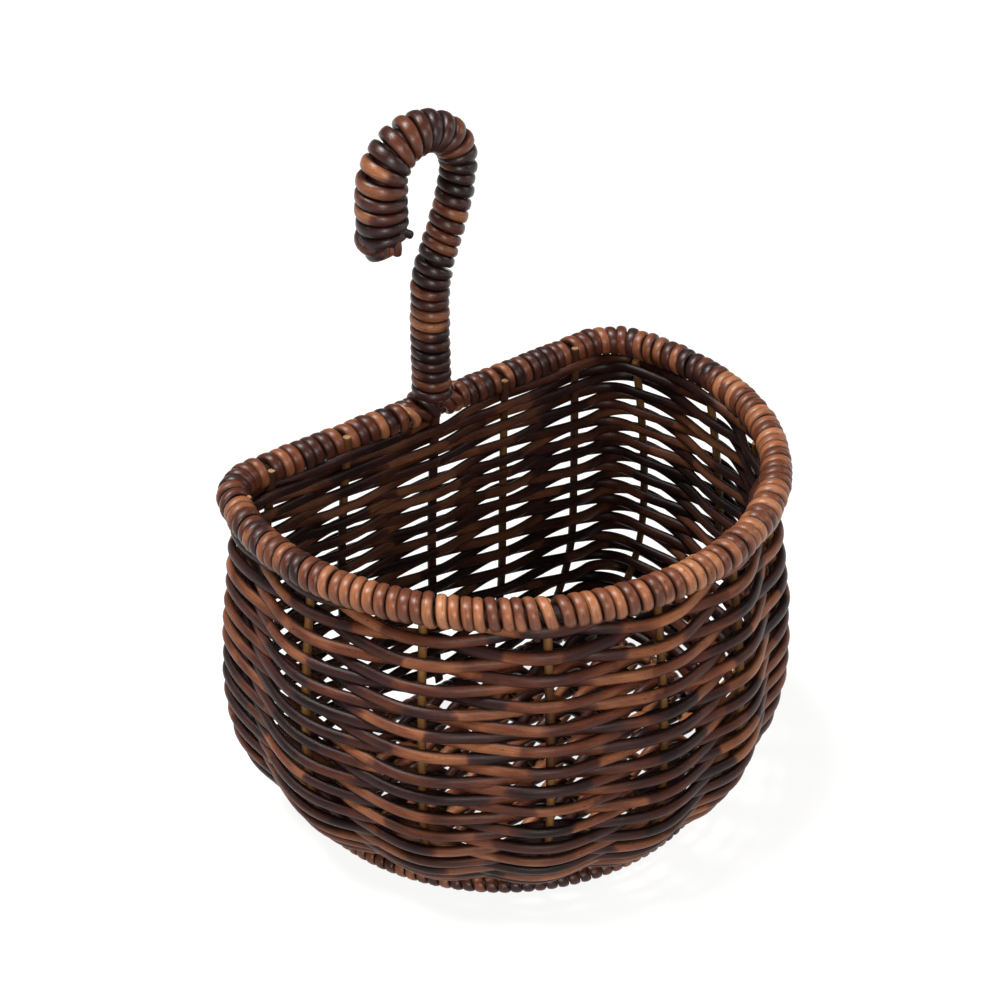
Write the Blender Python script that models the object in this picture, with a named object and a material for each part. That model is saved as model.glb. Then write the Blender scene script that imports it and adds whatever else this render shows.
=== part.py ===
"""A half-round rattan wall basket with a wrapped crook to hang it by.

Metres, +Z up, the flat back towards +Y. The origin is on the floor, at the middle of the basket's box.
The wall is one spiral of rods woven over and under fifteen upright stakes. The middle stake of the back
is the tang of the crook's cane.
"""

import math

import bpy
import numpy as np
from mathutils import Vector

OBJECT_NAME = "rattan_wall_basket"

# Plan of the rim, along the middle of its hoop: an arc cut off by the straight back, with round corners
rim_radius = 0.111
arc_setback = 0.050
corner_radius = 0.019

# Heights above the floor
rim_height = 0.153
belly_height = 0.073

# Wall, along the middle of its stakes: how far it goes in at the foot and out at the belly, from the rim's arc
foot_taper = 0.022
belly_swell = 0.0050
back_tuck = 0.004
belly_power = 2.3
shoulder_power = 4

# Rods
weaver_diameter = 0.0038
stake_diameter = 0.0036
row_gap = 0.0004
first_row_rise = 0.0048
rim_slit = 0.0012
rod_joint_gap = 0.0012
stake_toe = 0.004
stake_tip = 0.0045
clearance = 0.0003
stake_shares = (
    0.0575, 0.118, 0.174, 0.243, 0.312, 0.381, 0.450,
    0.517, 0.588, 0.662, 0.741, 0.825, 0.873, 0.930,
)
stake_rise_shares = (0.0, 0.08, 0.19, 0.34, 0.54, 0.74, 0.89, 1.0)
pass_share = 0.25
corner_pass_share = 0.58
corner_offset_share = 0.5
corner_squeeze_share = 0.82
rod_count = 6

# Rim
hoop_diameter = 0.0056
wrap_diameter = 0.016
wrap_groove = 0.0011
wrap_pitch = 0.0054
wrap_bore_clearance = 0.0004
bore_overrun = 0.0016
stake_window = 0.0066
hook_window = 0.0300

# Base
border_diameter = 0.008
border_flat = 0.0005
base_stick_diameter = 0.0050
base_stick_pitch = 0.024
base_weaver_diameter = 0.0042
base_weaver_pitch = 0.0096

# Hook: the cane's middle line, in the plane of the back. Its shaft stands a little off the tang
shaft_shift = -0.0018
crook_radius = 0.0195
crook_sway = 0.0165
sway_start = 0.055
crook_height = 0.107
crook_drop = 0.028
tang_diameter = 0.0040
shaft_diameter = 0.0074
shoulder_height = 0.0035
shoulder_length = 0.006
crook_diameter = 0.0098
bulb_diameter = 0.0125
tip_diameter = 0.0050
tip_taper = 0.012
strand_diameter = 0.0042
strand_gap = 0.0005
strand_start = 0.0105
thick_strand_diameter = 0.0052
lashing_strand_diameter = 0.0042
lashing_gap = 0.0006

# Facets
ARC_SEGMENTS = 30
CORNER_SEGMENTS = 4
CURL_POINTS = 8
SQUARE_SIDES = 4
HEXAGON_SIDES = 6
OCTAGON_SIDES = 8
SWAY_STEPS = 4
CROOK_STEPS = 8
MERIDIAN_SAMPLES = 60
OUTLINE_SAMPLES = 1200
FITTING_ROUNDS = 3
WELD_DISTANCE = 1e-6

# Colours and how rough each surface is
DARK_STAIN = (0.105, 0.040, 0.020, 1.0)
WARM_STAIN = (0.190, 0.075, 0.032, 1.0)
PALE_STAIN = (0.270, 0.140, 0.045, 1.0)
GLOSSY, SATIN, DULL = 0.38, 0.44, 0.50

# What follows from the sizes above
base_radius = rim_radius - foot_taper
belly_radius = rim_radius + belly_swell
STAKE_PLACES = (0.0, *stake_shares)
BAYS = len(STAKE_PLACES)
pass_length = 2 * math.pi * rim_radius / BAYS * pass_share
pass_sagitta = pass_length**2 / (2 * rim_radius)
weave_offset = (weaver_diameter + stake_diameter) / 2 + clearance + pass_sagitta
weave_reach = weave_offset + weaver_diameter / 2
stake_inset = (hoop_diameter + stake_diameter) / 2 + clearance
strand_pitch = strand_diameter + strand_gap
border_height = border_diameter / 2 - border_flat
wall_foot = border_height + (border_diameter + stake_diameter) / 2 + clearance
front_reach = arc_setback + belly_radius + weave_reach
back_y = (front_reach - wrap_diameter / 2) / 2
arc_y = back_y - arc_setback
hook_y = back_y - stake_inset


def start_collections():
    """Empty the file, and return one collection for the pieces and one for the cutters."""
    for obj in list(bpy.data.objects):
        bpy.data.objects.remove(obj, do_unlink=True)
    pieces = bpy.data.collections.new(OBJECT_NAME)
    cutters = bpy.data.collections.new("cutters")
    cutters.hide_render = True
    for collection in (pieces, cutters):
        bpy.context.scene.collection.children.link(collection)
    return pieces, cutters


def stained(name, colour, roughness):
    """A stained rattan material, in one colour."""
    material = bpy.data.materials.new(name)
    material.use_nodes = True
    shader = material.node_tree.nodes["Principled BSDF"]
    shader.inputs["Base Color"].default_value = colour
    shader.inputs["Roughness"].default_value = roughness
    shader.inputs["Metallic"].default_value = 0.0
    return material


def tube(name, collection, points, diameters, sides, material, closed=False):
    """A round rod along points; diameters is one number, or one for each point."""
    widths = np.broadcast_to(diameters, len(points))
    curve = bpy.data.curves.new(name, "CURVE")
    curve.dimensions = "3D"
    curve.twist_mode = "MINIMUM"
    curve.bevel_depth = float(widths.max()) / 2
    curve.bevel_resolution = sides // 2 - 2
    curve.use_fill_caps = not closed
    spline = curve.splines.new("POLY")
    spline.points.add(len(points) - 1)
    spline.use_cyclic_u = closed
    for knot, place, width in zip(spline.points, points, widths):
        knot.co = (*place, 1.0)
        knot.radius = float(width / widths.max())
    curve.materials.append(material)
    obj = bpy.data.objects.new(name, curve)
    collection.objects.link(obj)
    return obj


def as_mesh(obj, collection):
    """The same object as a welded mesh, which a Boolean needs."""
    bpy.context.view_layer.update()
    evaluated = obj.evaluated_get(bpy.context.evaluated_depsgraph_get())
    mesh = bpy.data.meshes.new_from_object(evaluated)
    name, matrix = obj.name, obj.matrix_world.copy()
    bpy.data.objects.remove(obj, do_unlink=True)
    solid = bpy.data.objects.new(name, mesh)
    solid.matrix_world = matrix
    collection.objects.link(solid)
    weld = solid.modifiers.new("weld", "WELD")
    weld.merge_threshold = WELD_DISTANCE
    return solid


def cut(solid, cutter):
    """Take the cutter's shape out of the solid."""
    cutter.hide_render = True
    cutter.display_type = "WIRE"
    boolean = solid.modifiers.new("cut", "BOOLEAN")
    boolean.operation = "DIFFERENCE"
    boolean.solver = "EXACT"
    boolean.object = cutter


def half_outline(radius, flat_y, corner):
    """Half the flat's length, and the angle at which the corner's arc meets the big arc."""
    rise = flat_y - corner - arc_y
    half_flat = math.sqrt(max((radius - corner) ** 2 - rise**2, 0.0))
    return half_flat, math.atan2(rise, half_flat)


def rim_shares():
    """The shares of the rim's way round at which the flat and the corner end, and its whole length."""
    half_flat, angle = half_outline(rim_radius, back_y, corner_radius)
    corner = corner_radius * (math.pi / 2 - angle)
    whole = 2 * (half_flat + corner + rim_radius * (math.pi / 2 + angle))
    return half_flat / whole, (half_flat + corner) / whole, whole


FLAT_SHARE, CORNER_SHARE, rim_length = rim_shares()


def outline_point(share, radius, flat_y, corner):
    """A point of a D-shaped outline. Share 0 is the middle of the back, and it grows towards +X."""
    share %= 1.0
    side = 1.0 if share <= 0.5 else -1.0
    way = min(share, 1.0 - share)
    half_flat, meet = half_outline(radius, flat_y, corner)
    if way <= FLAT_SHARE:
        x, y = half_flat * way / FLAT_SHARE, flat_y
    elif way <= CORNER_SHARE:
        turned = (way - FLAT_SHARE) / (CORNER_SHARE - FLAT_SHARE)
        angle = math.pi / 2 - (math.pi / 2 - meet) * turned
        x, y = half_flat + corner * math.cos(angle), flat_y - corner + corner * math.sin(angle)
    else:
        turned = (way - CORNER_SHARE) / (0.5 - CORNER_SHARE)
        angle = meet - (meet + math.pi / 2) * turned
        x, y = radius * math.cos(angle), arc_y + radius * math.sin(angle)
    return side * x, y


def rim_point(share):
    """A point on the rim's middle line."""
    return Vector((*outline_point(share, rim_radius, back_y, corner_radius), rim_height))


def outline_stations():
    """Shares for a closed D-shaped rod: the flat's ends, a few in each corner and more round the arc."""
    corner = np.linspace(FLAT_SHARE, CORNER_SHARE, CORNER_SEGMENTS + 1)
    arc = np.linspace(CORNER_SHARE, 1.0 - CORNER_SHARE, ARC_SEGMENTS + 1)
    return np.concatenate([corner[:-1], arc, 1.0 - corner[::-1][1:]])


def wall_section(share, lift):
    """The middle of the wall at one place of the way round; lift runs from 0 at the base to 1 at the rim."""
    height = wall_foot + (rim_height - wall_foot) * lift
    lower = min((height - wall_foot) / (belly_height - wall_foot), 1.0)
    upper = max((height - belly_height) / (rim_height - belly_height), 0.0)
    swell = 1.0 - (1.0 - lower) ** belly_power
    lean = upper**shoulder_power
    radius = base_radius + (belly_radius - base_radius) * swell
    radius -= (belly_radius - rim_radius + stake_inset) * lean
    flat_y = back_y - back_tuck * (1.0 - swell) - stake_inset * lean
    return Vector((*outline_point(share, radius, flat_y, corner_radius - stake_inset * lean), height))


def wall_line(share):
    """Points up the wall at this share, and how far up the wall's own line each one is."""
    line = np.array([wall_section(share, lift) for lift in np.linspace(0.0, 1.0, MERIDIAN_SAMPLES)])
    steps = np.linalg.norm(np.diff(line, axis=0), axis=1)
    return line, np.concatenate([[0.0], np.cumsum(steps)])


def wall_point(share, rise):
    """The wall's middle at this share, with rise a share of the length of the wall's line there."""
    line, travelled = wall_line(share)
    way = rise * travelled[-1]
    return Vector([float(np.interp(way, travelled, line[:, axis])) for axis in range(3)])


def wall_normal(share, rise):
    """The outward direction, square to the wall."""
    step = 1.0 / MERIDIAN_SAMPLES
    low, high = max(rise - step / 2, 0.0), min(rise + step / 2, 1.0)
    upward = wall_point(share, high) - wall_point(share, low)
    along = wall_point(share + step / 4, rise) - wall_point(share - step / 4, rise)
    return upward.cross(along).normalized()


def share_at(bay):
    """The share of the way round, from a count of stakes passed that need not be whole."""
    turn, place = divmod(bay, BAYS)
    first = int(place)
    ends = (*STAKE_PLACES, 1.0)
    return turn + ends[first] + (ends[first + 1] - ends[first]) * (place - first)


def woven_turns():
    """How many rows the shortest part of the wall holds, and the rises at which they start and end."""
    lengths = [wall_line(place)[1][-1] for place in STAKE_PLACES]
    start = first_row_rise / min(lengths)
    end = 1.0 - ((wrap_diameter + weaver_diameter) / 2 + rim_slit) / min(lengths)
    room = (end - start) * min(lengths)
    return int(room / (weaver_diameter + row_gap)), start, end


def corner_turns():
    """For each of the two bays that hold a corner, how far along it the rod turns."""
    middle = (FLAT_SHARE + CORNER_SHARE) / 2
    first, last = (sum(place < corner for place in STAKE_PLACES) - 1 for corner in (middle, 1.0 - middle))
    return {first: corner_pass_share, last: 1.0 - corner_pass_share}


def weaver_line(first_bay, last_bay, start, step):
    """A running rod's points and widths. It goes outside the even stakes and inside the odd ones."""
    turns_at = corner_turns()
    butt = rod_joint_gap * BAYS / rim_length / 2
    stops = [(first_bay + butt, first_bay, 1.0)]
    for stake in range(first_bay, last_bay + 1):
        stops += [(stake - pass_share, stake, 1.0), (stake + pass_share, stake, 1.0)]
        if stake % BAYS in turns_at:
            turn = turns_at[stake % BAYS]
            stops.append((stake + turn, stake + (turn < 0.5), corner_offset_share))
    stops = [stop for stop in stops if first_bay + butt <= stop[0] < last_bay - butt]
    stops.append((last_bay - butt, last_bay, 1.0))
    points, widths = [], []
    for bay, stake, reach in stops:
        side = 1.0 if stake % 2 == 0 else -1.0
        share, rise = share_at(bay), start + step * bay
        points.append(wall_point(share, rise) + wall_normal(share, rise) * side * reach * weave_offset)
        widths.append(weaver_diameter * (1.0 if reach == 1.0 else corner_squeeze_share))
    return points, widths


def add_weavers(pieces, material):
    """The wall's rods, end to end up one spiral. Each joint lies inside, behind an odd stake."""
    turns, start, end = woven_turns()
    step = (end - start) / (turns * BAYS)
    joints = [round(turns * BAYS * count / rod_count) | 1 for count in range(1, rod_count)]
    ends = [0, *joints, turns * BAYS]
    for number, (first, last) in enumerate(zip(ends, ends[1:]), start=1):
        points, widths = weaver_line(first, last, start, step)
        tube(f"weaver_{number}", pieces, points, widths, SQUARE_SIDES, material)
    print("rows of weaving:", turns)


def stake_points(share):
    """A stake's line: a short toe over the border, up the wall's line, and past the hoop to its cut tip."""
    foot = wall_point(share, 0.0)
    middle = Vector((0.0, arc_y, foot.z))
    toe = foot + (middle - foot).normalized() * stake_toe
    wall = [wall_point(share, rise) for rise in stake_rise_shares]
    return [toe, *wall, wall[-1] + Vector((0.0, 0.0, stake_tip))]


def add_stakes(pieces, material):
    """All the stakes but the middle one of the back, which is the hook's tang."""
    for number, share in enumerate(stake_shares, start=1):
        tube(f"stake_{number:02d}", pieces, stake_points(share), stake_diameter, HEXAGON_SIDES, material)


def add_hoop(pieces, material):
    """The rim's hoop, inside the wrapping."""
    points = [rim_point(share) for share in outline_stations()]
    tube("rim_hoop", pieces, points, hoop_diameter, HEXAGON_SIDES, material, closed=True)


def wrap_section(number, first, last, pieces, cutters, material):
    """The rim's wrapping between two stakes: a rib for each turn of the strand, bored for the hoop."""
    turns = max(int((last - first) * rim_length / wrap_pitch), 1)
    shares = np.linspace(first, last, 2 * turns + 1)
    widths = wrap_diameter - 2 * wrap_groove * (1 - np.arange(len(shares)) % 2)
    points = [rim_point(share) for share in shares]
    section = tube(f"rim_wrap_{number:02d}", pieces, points, widths, OCTAGON_SIDES, material)
    section = as_mesh(section, pieces)
    overrun = bore_overrun / rim_length
    bore_shares = np.linspace(first - overrun, last + overrun, turns // 2 + 2)
    bore = (hoop_diameter + 2 * wrap_bore_clearance) / math.cos(math.pi / HEXAGON_SIDES)
    line = [rim_point(share) for share in bore_shares]
    cutter = tube(f"rim_wrap_{number:02d}_bore", cutters, line, bore, HEXAGON_SIDES, material)
    cut(section, as_mesh(cutter, cutters))


def add_rim_wraps(pieces, cutters, material):
    """The wrapping leaves a window at each stake, where its tip shows, and a wide one at the hook."""
    places = (*STAKE_PLACES, 1.0)
    for number, (first, last) in enumerate(zip(places, places[1:]), start=1):
        start_window = hook_window if number == 1 else stake_window
        end_window = hook_window if number == BAYS else stake_window
        start = first + start_window / rim_length / 2
        wrap_section(number, start, last - end_window / rim_length / 2, pieces, cutters, material)


def border_point(share, inset=0.0):
    """A point on the border ring's middle line, or on a line inside it."""
    outline = outline_point(share, base_radius - inset, back_y - back_tuck - inset, corner_radius - inset)
    return Vector((*outline, border_height))


def add_border(pieces, cutters, material):
    """The ring that the basket stands on, cut flat underneath."""
    points = [border_point(share) for share in outline_stations()]
    ring = tube("base_border", pieces, points, border_diameter, OCTAGON_SIDES, material, closed=True)
    ring = as_mesh(ring, pieces)
    span = 2 * (base_radius + border_diameter)
    bpy.ops.mesh.primitive_cube_add(size=span, location=(0.0, arc_y, -span / 2))
    floor = bpy.context.active_object
    floor.name = "floor_cutter"
    for collection in list(floor.users_collection):
        collection.objects.unlink(floor)
    cutters.objects.link(floor)
    cut(ring, floor)


def base_span(along, inset, crossways):
    """The lowest and highest place of a line across the base, inset from the border's middle line."""
    shares = np.linspace(0.0, 1.0, OUTLINE_SAMPLES)
    outline = np.array([border_point(share, inset)[:2] for share in shares])
    across, level = (outline[:, 0], outline[:, 1]) if crossways else (outline[:, 1], outline[:, 0])
    crossed = np.nonzero(np.diff(np.sign(level - along)))[0]
    return across[crossed].min(), across[crossed].max()


def turn_reach(limit, sticks):
    """How far from the middle the base's rod turns back: within the limit, and clear of every stick."""
    room = (base_stick_diameter + base_weaver_diameter) / 2 + clearance
    beside = [x for x in sticks if abs(limit - x) < room]
    return beside[0] - room if beside else limit


def base_weaver_points(sticks, height, swing):
    """The base's rod: to and fro over and under the sticks, from the back to the front."""
    inset = (border_diameter + base_weaver_diameter) / 2 + 2 * clearance
    front, back = base_span(0.0, inset + base_weaver_pitch / 2, crossways=False)
    passes = int((back - front) / base_weaver_pitch) + 1
    levels = [back - count * base_weaver_pitch for count in range(passes)]
    widths = [base_span(y, inset, crossways=True)[1] for y in levels]
    turns = [turn_reach(min(pair), sticks) for pair in zip(widths, widths[1:])]
    reaches = [turn_reach(widths[0], sticks), *turns, turn_reach(widths[-1], sticks)]
    points = []
    for count, y in enumerate(levels):
        side = (-1) ** count
        ends = (-side * reaches[count], side * reaches[count + 1])
        crossed = [x for x in sticks[::side] if min(ends) < x < max(ends)]
        lifts = [height + swing * (-1) ** (count + sticks.index(x)) for x in crossed]
        line = zip((ends[0], *crossed, ends[1]), (lifts[0], *lifts, lifts[-1]))
        points += [Vector((x, y, z)) for x, z in line]
    return points


def add_base(pieces, stick_material, rod_material):
    """Sticks from back to front inside the border, and one rod woven through them from side to side."""
    inset = border_diameter / 2 + clearance
    swing = (base_stick_diameter + base_weaver_diameter) / 2 + clearance
    swing /= math.cos(math.atan2(2 * swing, base_stick_pitch))
    height = swing + base_weaver_diameter / 2 + clearance
    reach = int((base_radius - inset) / base_stick_pitch)
    sticks = [count * base_stick_pitch for count in range(-reach, reach + 1)]
    for number, x in enumerate(sticks, start=1):
        edges = (x - base_stick_diameter / 2, x + base_stick_diameter / 2)
        spans = [base_span(edge, inset, crossways=False) for edge in edges]
        front, back = max(span[0] for span in spans), min(span[1] for span in spans)
        ends = [Vector((x, front, height)), Vector((x, back, height))]
        tube(f"base_stick_{number}", pieces, ends, base_stick_diameter, HEXAGON_SIDES, stick_material)
    points = base_weaver_points(sticks, height, swing)
    tube("base_weaver", pieces, points, base_weaver_diameter, SQUARE_SIDES, rod_material)


def hook_line():
    """The cane's middle line above the rim, as (x, height, diameter): shaft, sway, crook and drop."""
    shoulder = rim_height + hoop_diameter / 2 + shoulder_height
    sway_foot = rim_height + sway_start
    line = [
        (0.0, shoulder, tang_diameter),
        (shaft_shift, shoulder + shoulder_length, shaft_diameter),
        (shaft_shift, sway_foot, shaft_diameter),
    ]
    for share in np.linspace(0.0, 1.0, SWAY_STEPS + 1)[1:-1]:
        sway = crook_sway * (1 - math.cos(share * math.pi)) / 2
        line.append((shaft_shift + sway, sway_foot + (crook_height - sway_start) * share, shaft_diameter))
    centre_x, centre_z = shaft_shift + crook_sway - crook_radius, rim_height + crook_height
    for angle in np.linspace(0.0, math.pi, CROOK_STEPS + 1):
        thickness = np.interp(
            angle, (0.0, math.pi / 2, math.pi), (shaft_diameter, crook_diameter, bulb_diameter)
        )
        x, z = centre_x + crook_radius * math.cos(angle), centre_z + crook_radius * math.sin(angle)
        line.append((x, z, float(thickness)))
    end_x, end_z = centre_x - crook_radius, centre_z - crook_drop
    line.append((end_x, end_z + tip_taper, bulb_diameter))
    line.append((end_x, end_z, tip_diameter))
    return line


def add_hook_core(pieces, material):
    """The cane: a tang down the middle of the back, a shoulder above the rim, the shaft and the crook."""
    tang = stake_points(0.0)[:-1]
    shaft = [Vector((x, hook_y, z)) for x, z, _ in hook_line()]
    widths = [tang_diameter] * len(tang) + [width for _, _, width in hook_line()]
    tube("hook_core", pieces, tang + shaft, widths, OCTAGON_SIDES, material)


def smooth_hook():
    """The hook's line at close steps: distance along it, place in its plane, and cane diameter."""
    line = np.array(hook_line())
    places = [line[0]]
    for before, here, after, beyond in zip(line[:-3], line[1:-2], line[2:-1], line[3:]):
        for share in np.linspace(0.0, 1.0, CURL_POINTS, endpoint=False):
            places.append(hermite(before, here, after, beyond, share))
    places += [line[-2], line[-1]]
    places = np.array(places)
    steps = np.linalg.norm(np.diff(places[:, :2], axis=0), axis=1)
    return np.concatenate([[0.0], np.cumsum(steps)]), places


def hermite(before, here, after, beyond, share):
    """A point of the smooth curve that passes through here and after."""
    start_slope, end_slope = (after - before) / 2, (beyond - here) / 2
    bend = 2 * here - 2 * after + start_slope + end_slope
    turn = 3 * after - 3 * here - 2 * start_slope - end_slope
    return ((bend * share + turn) * share + start_slope) * share + here


def hook_place(way, travelled, places):
    """The hook's place in its plane, its cane's diameter and its heading, at a distance along it."""
    x, z, cane = (float(np.interp(way, travelled, places[:, axis])) for axis in range(3))
    ends = [
        [float(np.interp(way + half, travelled, places[:, axis])) for axis in range(2)]
        for half in (-strand_pitch / 2, strand_pitch / 2)
    ]
    along = Vector((ends[1][0] - ends[0][0], 0.0, ends[1][1] - ends[0][1])).normalized()
    return Vector((x, hook_y, z)), cane, along


def wound_points(widths, travelled, places):
    """The strand's middle line round the cane, for these widths."""
    points = []
    for count, width in enumerate(widths):
        way = strand_start - shoulder_height + count * strand_pitch / CURL_POINTS
        centre, cane, along = hook_place(way, travelled, places)
        outward = Vector((along.z, 0.0, -along.x))
        angle = 2 * math.pi * count / CURL_POINTS
        radius = ((cane + width) / 2 + clearance) / math.cos(math.pi / CURL_POINTS)
        direction = outward * math.cos(angle) - Vector((0.0, 1.0, 0.0)) * math.sin(angle)
        points.append(centre + direction * radius)
    return points


def fitted_widths(points):
    """The width that each point of the strand has room for, between the turn below and the turn above."""
    places = np.array([list(point) for point in points])
    apart = np.linalg.norm(places[CURL_POINTS:] - places[:-CURL_POINTS], axis=1)
    below = np.concatenate([apart[:CURL_POINTS], apart])
    above = np.concatenate([apart, apart[-CURL_POINTS:]])
    return np.minimum(np.minimum(below, above) - strand_gap, thick_strand_diameter)


def add_hook_wrap(pieces, material):
    """One strand wound up the shaft and round the crook, thick outside a bend and thin inside it."""
    travelled, places = smooth_hook()
    turns = (travelled[-1] - strand_start + shoulder_height) / strand_pitch
    widths = np.full(int(turns * CURL_POINTS), strand_diameter)
    for _ in range(FITTING_ROUNDS):
        widths = np.minimum(widths, fitted_widths(wound_points(widths, travelled, places)))
    points, widths = straight_ends(wound_points(widths, travelled, places), widths)
    tube("hook_wrap", pieces, points, widths, HEXAGON_SIDES, material)
    print("turns of the hook's wrap:", round(turns, 1))
    print("least gap between its turns, mm:", round(1000 * least_gap(points, widths), 2))


def straight_ends(points, widths):
    """The strand's two ends run on straight for one strand width."""
    first = points[0] + (points[0] - points[1]).normalized() * widths[0]
    last = points[-1] + (points[-1] - points[-2]).normalized() * widths[-1]
    return [first, *points, last], [widths[0], *widths, widths[-1]]


def least_gap(points, widths):
    """The least distance between the surfaces of two turns, from the points of the strand."""
    places, halves = np.array([list(point) for point in points]), np.array(widths) / 2
    least = math.inf
    for count in range(len(places) - CURL_POINTS + 2):
        other = slice(count + CURL_POINTS - 2, None)
        apart = np.linalg.norm(places[other] - places[count], axis=1) - halves[other] - halves[count]
        least = min(least, float(apart.min()))
    return least


def add_lashings(pieces, material):
    """On each side of the hook's foot a strand goes round the bare hoop, to the end of the wrapping."""
    radius = ((hoop_diameter + lashing_strand_diameter) / 2 + clearance) / math.cos(math.pi / CURL_POINTS)
    inner = (tang_diameter + lashing_strand_diameter) / 2 + clearance
    outer = hook_window / 2 - lashing_strand_diameter / 2 - clearance
    pitch = lashing_strand_diameter + lashing_gap
    steps = int((outer - inner) / pitch * CURL_POINTS)
    for name, side in (("hook_lashing_left", -1), ("hook_lashing_right", 1)):
        points = []
        for count in range(steps + 1):
            angle = 2 * math.pi * side * count / CURL_POINTS
            x = side * (inner + pitch * count / CURL_POINTS)
            y, z = back_y + radius * math.cos(angle), rim_height + radius * math.sin(angle)
            points.append(Vector((x, y, z)))
        tube(name, pieces, points, lashing_strand_diameter, HEXAGON_SIDES, material)


def main():
    pieces, cutters = start_collections()
    add_weavers(pieces, stained("weaver_stain", DARK_STAIN, SATIN))
    add_stakes(pieces, stained("stake_stain", PALE_STAIN, DULL))
    add_hoop(pieces, stained("hoop_stain", DARK_STAIN, DULL))
    add_rim_wraps(pieces, cutters, stained("rim_wrap_stain", WARM_STAIN, GLOSSY))
    add_border(pieces, cutters, stained("border_stain", DARK_STAIN, DULL))
    base_stick_stain = stained("base_stick_stain", PALE_STAIN, DULL)
    add_base(pieces, base_stick_stain, stained("base_weaver_stain", DARK_STAIN, SATIN))
    add_hook_core(pieces, stained("hook_core_stain", DARK_STAIN, DULL))
    hook_wrap_stain = stained("hook_wrap_stain", WARM_STAIN, GLOSSY)
    add_hook_wrap(pieces, hook_wrap_stain)
    add_lashings(pieces, hook_wrap_stain)


main()
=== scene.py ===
"""The looks of the rattan wall basket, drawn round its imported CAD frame.

Metres, +Z up, the flat back towards +Y. Every rod, stake and strand is drawn by Rods, from its middle line,
the direction that faces out at each point, and half its thickness that way and sideways. A share is a place
on the way round the basket: 0 is the middle of the back, and it grows towards +X. A bay is the space between
two stakes. A rise is a share of the wall's own line from the foot to the rim.
"""

import math

import bpy
import numpy as np
from mathutils import Matrix


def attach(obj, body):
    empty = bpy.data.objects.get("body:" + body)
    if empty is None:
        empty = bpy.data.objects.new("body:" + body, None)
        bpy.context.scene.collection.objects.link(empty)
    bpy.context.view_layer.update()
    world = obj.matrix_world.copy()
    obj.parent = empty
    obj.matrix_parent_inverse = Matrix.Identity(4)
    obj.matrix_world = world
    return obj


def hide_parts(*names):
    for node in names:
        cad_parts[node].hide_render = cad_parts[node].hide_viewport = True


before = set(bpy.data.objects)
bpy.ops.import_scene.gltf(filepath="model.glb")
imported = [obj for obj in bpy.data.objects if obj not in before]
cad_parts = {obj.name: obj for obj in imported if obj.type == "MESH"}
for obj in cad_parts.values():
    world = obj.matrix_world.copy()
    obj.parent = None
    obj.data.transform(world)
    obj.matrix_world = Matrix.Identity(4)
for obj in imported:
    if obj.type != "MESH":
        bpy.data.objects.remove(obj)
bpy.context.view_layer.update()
rng = np.random.default_rng(7)

# ---------------------------------------------------------------- sizes, as in the CAD source
rim_radius = 0.111
arc_setback = 0.050
corner_radius = 0.019
rim_height = 0.153
belly_height = 0.073
back_tuck = 0.004
clearance = 0.0003

weaver_diameter = 0.0038
stake_diameter = 0.0036
pass_share = 0.25
stake_toe = 0.004
stake_tip = 0.0045
stake_shares = (
    0.0575, 0.118, 0.174, 0.243, 0.312, 0.381, 0.450,
    0.517, 0.588, 0.662, 0.741, 0.825, 0.873, 0.930,
)
ROW_COUNT = 30
ROD_COUNT = 6

hoop_diameter = 0.0056
wrap_diameter = 0.0132
hook_window = 0.0300

border_diameter = 0.008
border_flat = 0.0005
base_stick_diameter = 0.0050
base_stick_pitch = 0.024
base_weaver_diameter = 0.0042
base_weaver_pitch = 0.0096

shaft_shift = -0.0018
crook_radius = 0.0195
crook_sway = 0.0165
sway_start = 0.055
crook_height = 0.108
crook_drop = 0.028
tang_diameter = 0.0040
shaft_diameter = 0.0074
shoulder_height = 0.0035
shoulder_length = 0.006
crook_diameter = 0.0098
bulb_diameter = 0.0125
tip_diameter = 0.0050
tip_taper = 0.012
strand_diameter = 0.0042

# ---------------------------------------------------------------- sizes fitted closer to the photo
base_radius = rim_radius - 0.0205
belly_radius = rim_radius + 0.0054
belly_power = 2.85
shoulder_power = 1.6
first_row_rise = 0.0022
rim_slit = 0.0004
wall_swing = 0.0037
row_fullness = 1.34  # how much taller than thick the wall's rods are
joint_gap_bays = 0.012

wrap_pitch = 0.0047
wrap_strand_half = 0.0019
open_window = 0.0054
closed_window = 0.0026
window_reach = 0.9  # how far into a window, as a share of its half, the strand begins and ends
wrap_tightness = 0.97
OPEN_TIPS = {1: 0.25, 2: 0.80, 9: 0.35, 12: 0.55, 13: 0.35, 14: 0.80}  # the stakes whose tips show, and how much
hidden_tip_depth = 0.0050

foot_core_half = 0.0019
foot_strand_half = 0.00105
foot_strand_half_width = 0.00225
foot_strand_pitch = 0.0047
base_weaver_half_width = 0.00245

winding_start = 0.0042
winding_end = 0.0030
winding_foot_drop = 0.008
lashing_half_width = 0.0023

# ---------------------------------------------------------------- what follows from the sizes
STAKE_PLACES = (0.0, *stake_shares)
BAYS = len(STAKE_PLACES)
pass_length = 2 * math.pi * rim_radius / BAYS * pass_share
weave_offset = (weaver_diameter + stake_diameter) / 2 + clearance + pass_length**2 / (2 * rim_radius)
stake_inset = (hoop_diameter + stake_diameter) / 2 + clearance
border_height = border_diameter / 2 - border_flat
wall_foot = border_height + (border_diameter + stake_diameter) / 2 + clearance
back_y = (arc_setback + belly_radius + weave_offset + weaver_diameter / 2 - wrap_diameter / 2) / 2
arc_y = back_y - arc_setback
hook_y = back_y - stake_inset
wrap_reach = wrap_diameter / 2 - wrap_strand_half

UP = np.array([0.0, 0.0, 1.0])
BACK = np.array([0.0, 1.0, 0.0])


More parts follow.
